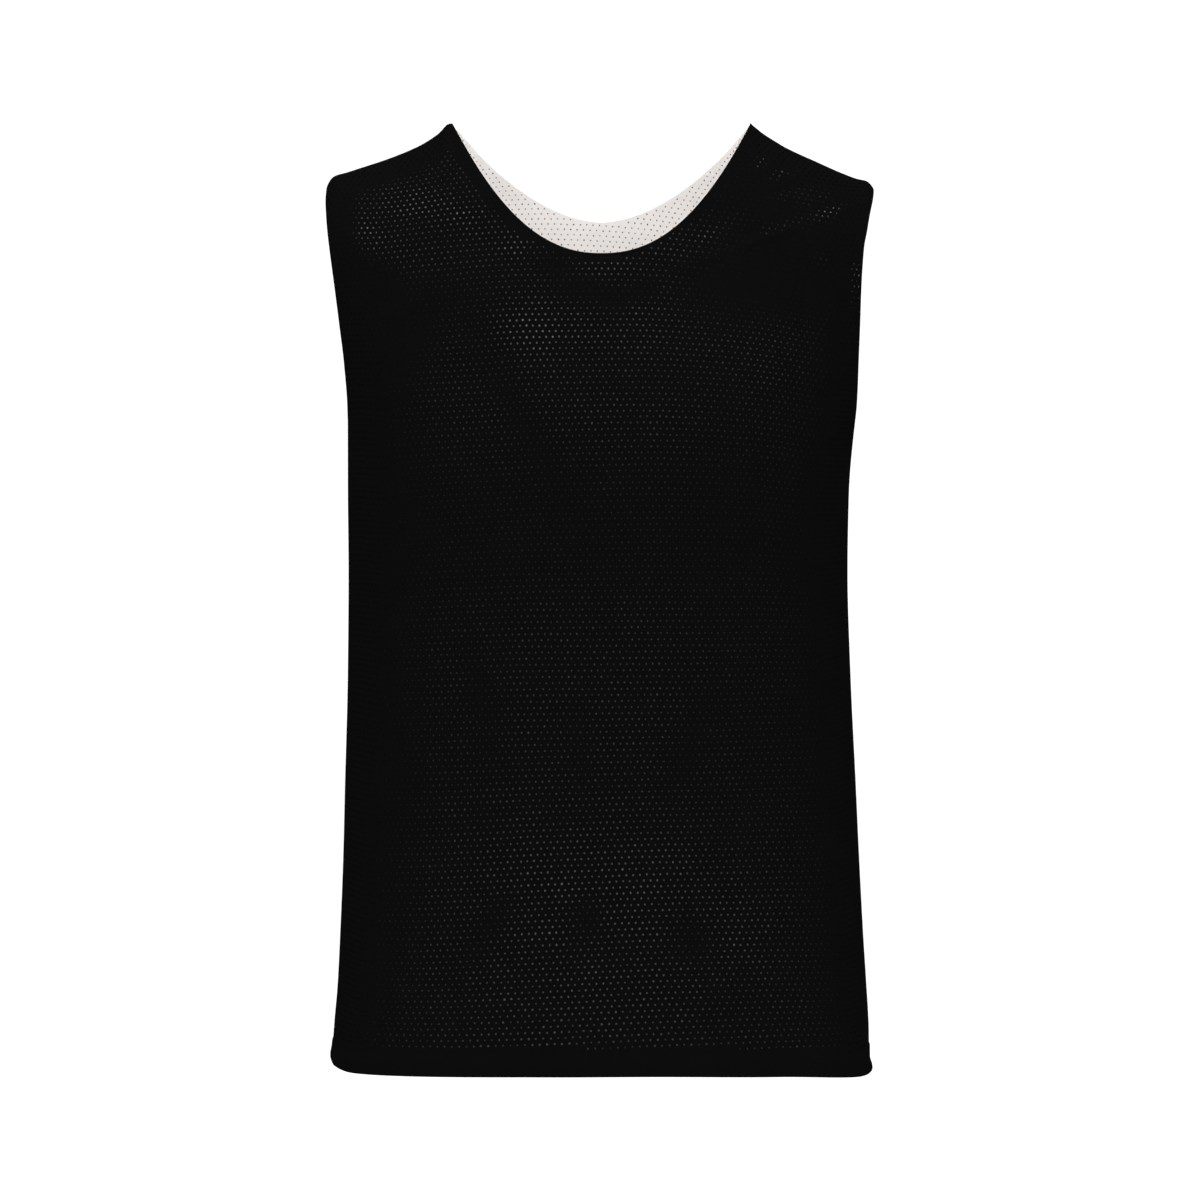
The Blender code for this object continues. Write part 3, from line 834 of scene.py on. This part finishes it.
def hidden_face(torso, outline, off):
    """The white layer's other face, close behind the black one, with no holes in it, and the
    painted light and shade of its colour.
    """
    inset = outline - SKIN_MARGIN * off
    outline = inset[clearance(inset, outline) > SKIN_KEPT * SKIN_MARGIN]
    spots = lattice(SKIN_GRID, SKIN_GRID * SKIN_ROW)
    spots = spots[clearance(spots, outline) > SKIN_GRID / 2]
    flat, faces = triangulate(outline, np.zeros((0, 0, 2)), spots)
    points, normals = torso.lay(flat, SKIN_DEPTH)
    return points, normals, flat, faces, painted_hole_light(torso, flat, points)


def make_object(name, points, normals, uv, faces, materials, kinds):
    """A mesh object, where kinds says which of the materials each triangle has."""
    mesh = bpy.data.meshes.new(name)
    mesh.from_pydata(points.tolist(), [], faces.tolist())
    for material in materials:
        mesh.materials.append(material)
    mesh.polygons.foreach_set("material_index", kinds.astype(np.int32))
    mesh.polygons.foreach_set("use_smooth", np.ones(len(faces), bool))
    layer = mesh.uv_layers.new(name="OFBake")
    layer.data.foreach_set("uv", uv[faces.ravel()].astype(np.float32).ravel())
    mesh.normals_split_custom_set_from_vertices(normals.tolist())
    made = bpy.data.objects.new(name, mesh)
    bpy.context.collection.objects.link(made)
    return made


def make_panel(torso, layer, materials, random):
    """One panel: its perforated face, its turned edges and, on the white, its hidden face."""
    outline, off, width = panel_outline(torso, layer)
    points, normals, flat, faces = perforated(torso, layer, outline, random)
    rings = turned_edge(torso, layer, outline, off, width)
    edge = ring_faces(len(outline), len(rings), len(points))
    points = np.concatenate([points] + [ring[0] for ring in rings])
    normals = np.concatenate([normals] + [ring[1] for ring in rings])
    flat = np.concatenate([flat] + [ring[2] for ring in rings])
    kinds = np.zeros(len(faces) + len(edge))
    # The allowances past the turned edges take the lighter, painted-light copy of the black cloth.
    if layer == "black":
        kinds[len(faces) + 2 * len(outline) * TURN_STEPS :] = 1
    faces = np.concatenate([faces, edge])
    if (torso.panel == "back") != (layer == "white"):
        faces = faces[:, ::-1]
    shade = np.zeros(len(points))
    uv = (flat + UV_PLACE) / UV_SIDE
    if layer == "white":
        skin_points, skin_normals, skin_flat, skin_faces, pale = hidden_face(torso, outline, off)
        if torso.panel == "back":
            skin_faces = skin_faces[:, ::-1]
        faces = np.concatenate([faces, skin_faces + len(points)])
        kinds = np.concatenate([kinds, np.ones(len(skin_faces))])
        points = np.concatenate([points, skin_points])
        normals = np.concatenate([normals, skin_normals])
        uv = np.concatenate([uv, (skin_flat + SKIN_UV_PLACE) / UV_SIDE])
        shade = np.concatenate([shade, pale])
    name = layer + "_" + torso.panel
    made = make_object(name + "_cloth", points, normals, uv, faces, materials, kinds)
    if layer == "white":
        # The hidden face's painted light and shade, which its material reads.
        attribute = made.data.attributes.new("shade", "FLOAT", "POINT")
        attribute.data.foreach_set("value", shade.astype(np.float32))
    return made


# Base colours in linear light, which these lamps bring to what the photo shows of each.
BLACK = (0.00222, 0.00222, 0.00225)
WHITE = (0.848, 0.822, 0.804)
# Painted shade: the colour that the darkest holes show in place of the white layer; the black
# allowance takes it too, painted lighter than the black so that holes over it look like those
# elsewhere.
PAINTED_HOLE_SHADE = (0.0120, 0.0120, 0.0121)  # what lies behind the darkest holes
BLACK_MOTTLE = (0.90, 1.10)  # shares of the colour, at the ends of the mottle
WHITE_MOTTLE = (0.97, 1.02)
MOTTLE_SIZE = 0.035
MOTTLE_DETAIL = 3.0
CLOTH_ROUGHNESS = 0.88
WALE = 0.00126
COURSE = 0.00063
COURSE_SHARE = 0.5  # of the relief of the courses to that of the wales
YARN_SIZE = 0.0009
RELIEF_DEPTH = 0.00012
BEHIND_ROUGHNESS = 0.9
HOLE_CELL = 0.0042  # about one hole's share of the cloth
HOLE_SPREAD = 0.40  # of brightness from hole to hole
HOLE_LEAST = 0.55
BROAD_SIZE = 0.018
BROAD_LEAST = 0.5


def connect(tree, source, target):
    tree.links.new(source, target)


def add(tree, kind, **values):
    """A new node, with its named inputs set."""
    made = tree.nodes.new(kind)
    for name, value in values.items():
        made.inputs[name].default_value = value
    return made


def calculate(tree, operation, first, second):
    """A sum, product or other result of two values, either of which may be a socket."""
    made = tree.nodes.new("ShaderNodeMath")
    made.operation = operation
    for place, value in enumerate((first, second)):
        if isinstance(value, (int, float)):
            made.inputs[place].default_value = value
        else:
            connect(tree, value, made.inputs[place])
    return made.outputs[0]


def cloth_coordinates(tree):
    """Flat cloth coordinates in metres, as a vector and as its first two values."""
    uv = tree.nodes.new("ShaderNodeUVMap")
    uv.uv_map = "OFBake"
    metres = tree.nodes.new("ShaderNodeVectorMath")
    metres.operation = "SCALE"
    metres.inputs["Scale"].default_value = UV_SIDE
    connect(tree, uv.outputs[0], metres.inputs[0])
    parts = tree.nodes.new("ShaderNodeSeparateXYZ")
    connect(tree, metres.outputs[0], parts.inputs[0])
    return metres.outputs[0], parts.outputs[0], parts.outputs[1]


def ribs(tree, along, pitch):
    """A wave of that pitch along one coordinate, from -1 to 1."""
    return calculate(tree, "SINE", calculate(tree, "MULTIPLY", along, 2 * math.pi / pitch), 0.0)


def noise(tree, vector, size, detail=2.0):
    """Soft noise from 0 to 1, in patches of about that size."""
    made = add(tree, "ShaderNodeTexNoise", Scale=1 / size, Detail=detail)
    connect(tree, vector, made.inputs["Vector"])
    return made.outputs[0]


def blend_colours(tree, share, low, high):
    """A colour from low to high, as a share from 0 to 1 says."""
    made = tree.nodes.new("ShaderNodeMix")
    made.data_type = "RGBA"
    connect(tree, share, made.inputs[0])
    made.inputs[6].default_value = (*low, 1.0)
    made.inputs[7].default_value = (*high, 1.0)
    return made.outputs[2]


def new_material(name, roughness, gloss):
    material = bpy.data.materials.new(name)
    material.use_nodes = True
    tree = material.node_tree
    surface = tree.nodes["Principled BSDF"]
    surface.inputs["Roughness"].default_value = roughness
    surface.inputs["Specular IOR Level"].default_value = gloss
    return material, tree, surface


def knit(name, colour, spread, gloss, relief):
    """Fine knit between the pin holes: wales and courses in relief, with a little mottle."""
    material, tree, surface = new_material(name, CLOTH_ROUGHNESS, gloss)
    vector, u, v = cloth_coordinates(tree)
    mottle = noise(tree, vector, MOTTLE_SIZE, MOTTLE_DETAIL)
    yarn = noise(tree, vector, YARN_SIZE)
    low, high = ([share * c for c in colour] for share in spread)
    connect(tree, blend_colours(tree, mottle, low, high), surface.inputs["Base Color"])
    rows = calculate(tree, "MULTIPLY", ribs(tree, v, COURSE), COURSE_SHARE)
    height = calculate(tree, "ADD", calculate(tree, "ADD", ribs(tree, u, WALE), rows), yarn)
    bump = add(tree, "ShaderNodeBump", Strength=relief, Distance=RELIEF_DEPTH)
    connect(tree, height, bump.inputs["Height"])
    connect(tree, bump.outputs[0], surface.inputs["Normal"])
    return material


def seen_through_holes():
    """The white layer as it shows through the black one's pin holes, in painted light and shade,
    each a little different.
    """
    material, tree, surface = new_material("white_behind_black_painted_shade", BEHIND_ROUGHNESS, 0.0)
    vector, _, _ = cloth_coordinates(tree)
    shade = tree.nodes.new("ShaderNodeAttribute")
    shade.attribute_name = "shade"
    cells = add(tree, "ShaderNodeTexVoronoi", Scale=1 / HOLE_CELL)
    connect(tree, vector, cells.inputs["Vector"])
    parts = tree.nodes.new("ShaderNodeSeparateColor")
    connect(tree, cells.outputs["Color"], parts.inputs[0])
    spread = calculate(tree, "MULTIPLY", parts.outputs[0], HOLE_SPREAD)
    each = calculate(tree, "ADD", spread, HOLE_LEAST)
    broad = calculate(tree, "ADD", noise(tree, vector, BROAD_SIZE), BROAD_LEAST)
    share = calculate(tree, "MULTIPLY", calculate(tree, "MULTIPLY", each, broad), shade.outputs[2])
    connect(tree, blend_colours(tree, share, PAINTED_HOLE_SHADE, WHITE), surface.inputs["Base Color"])
    return material


SEED = 11
black_cloth = knit("black_mesh", BLACK, BLACK_MOTTLE, gloss=0.0, relief=0.5)
white_cloth = knit("white_mesh", WHITE, WHITE_MOTTLE, gloss=0.2, relief=0.15)
# Painted light: the black layer's allowances are a lighter copy of the black cloth, so that holes
# over them look like the rest.
black_allowance_painted_light = knit("black_allowance_painted_light", PAINTED_HOLE_SHADE, BLACK_MOTTLE, gloss=0.0, relief=0.5)
# The hidden face's material, its colour painted light and shade from the shade attribute.
behind = seen_through_holes()
random = np.random.default_rng(SEED)

# Each panel's black and white layers, attached to the root, with their solids hidden.
for panel_name in ("front", "back"):
    torso = Torso(panel_name)
    for layer_name in ("black", "white"):
        black = layer_name == "black"
        materials = [black_cloth, black_allowance_painted_light] if black else [white_cloth, behind]
        piece = make_panel(torso, layer_name, materials, random)
        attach(piece, "root")
        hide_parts(layer_name + "_" + panel_name)

# Stage: a white studio with a pale floor well below the hanging jersey.
STUDIO_COLOUR = (1.0, 1.0, 1.0, 1.0)
STUDIO_STRENGTH = 1.12
FLOOR_DROP = 0.45
FLOOR_SIZE = 40.0
FLOOR_COLOUR = (0.94, 0.94, 0.94, 1.0)
LAMP_AIM = (0.0, 0.0, -0.35)
LAMPS = (
    # name, place, size and power
    ("key", (-2.2, -3.0, 2.3), 2.2, 60.0),
    ("fill", (2.6, -2.8, 1.4), 2.4, 34.0),
    ("top", (0.0, -0.4, 3.2), 2.6, 150.0),
)
CAMERA_PLACE = (0.0, -4.0, -0.3696)
CAMERA_LENS = 154.5


def pale_studio():
    world = bpy.data.worlds.new("studio")
    world.use_nodes = True
    background = world.node_tree.nodes["Background"]
    background.inputs[0].default_value = STUDIO_COLOUR
    background.inputs[1].default_value = STUDIO_STRENGTH
    bpy.context.scene.world = world


def pale_floor():
    place = (0, 0, -BODY_LENGTH - FLOOR_DROP)
    bpy.ops.mesh.primitive_plane_add(size=FLOOR_SIZE, location=place)
    floor = bpy.context.object
    floor.name = "floor"
    material, _, surface = new_material("floor", 0.9, 0.1)
    surface.inputs["Base Color"].default_value = FLOOR_COLOUR
    floor.data.materials.append(material)


def soft_light(name, place, size, power):
    data = bpy.data.lights.new(name, "AREA")
    data.shape = "SQUARE"
    data.size = size
    data.energy = power
    lamp = bpy.data.objects.new(name, data)
    lamp.location = place
    aim = Vector(LAMP_AIM) - lamp.location
    lamp.rotation_euler = aim.to_track_quat("-Z", "Y").to_euler()
    bpy.context.collection.objects.link(lamp)


def level_camera():
    """Level and in front of the middle of the jersey, as far off as the photo was taken from."""
    data = bpy.data.cameras.new("camera")
    data.lens = CAMERA_LENS
    camera = bpy.data.objects.new("camera", data)
    camera.location = CAMERA_PLACE
    camera.rotation_euler = (math.pi / 2, 0.0, 0.0)
    bpy.context.collection.objects.link(camera)
    bpy.context.scene.camera = camera


pale_studio()
pale_floor()
for lamp_settings in LAMPS:
    soft_light(*lamp_settings)
level_camera()
bpy.context.scene.view_settings.view_transform = "Standard"
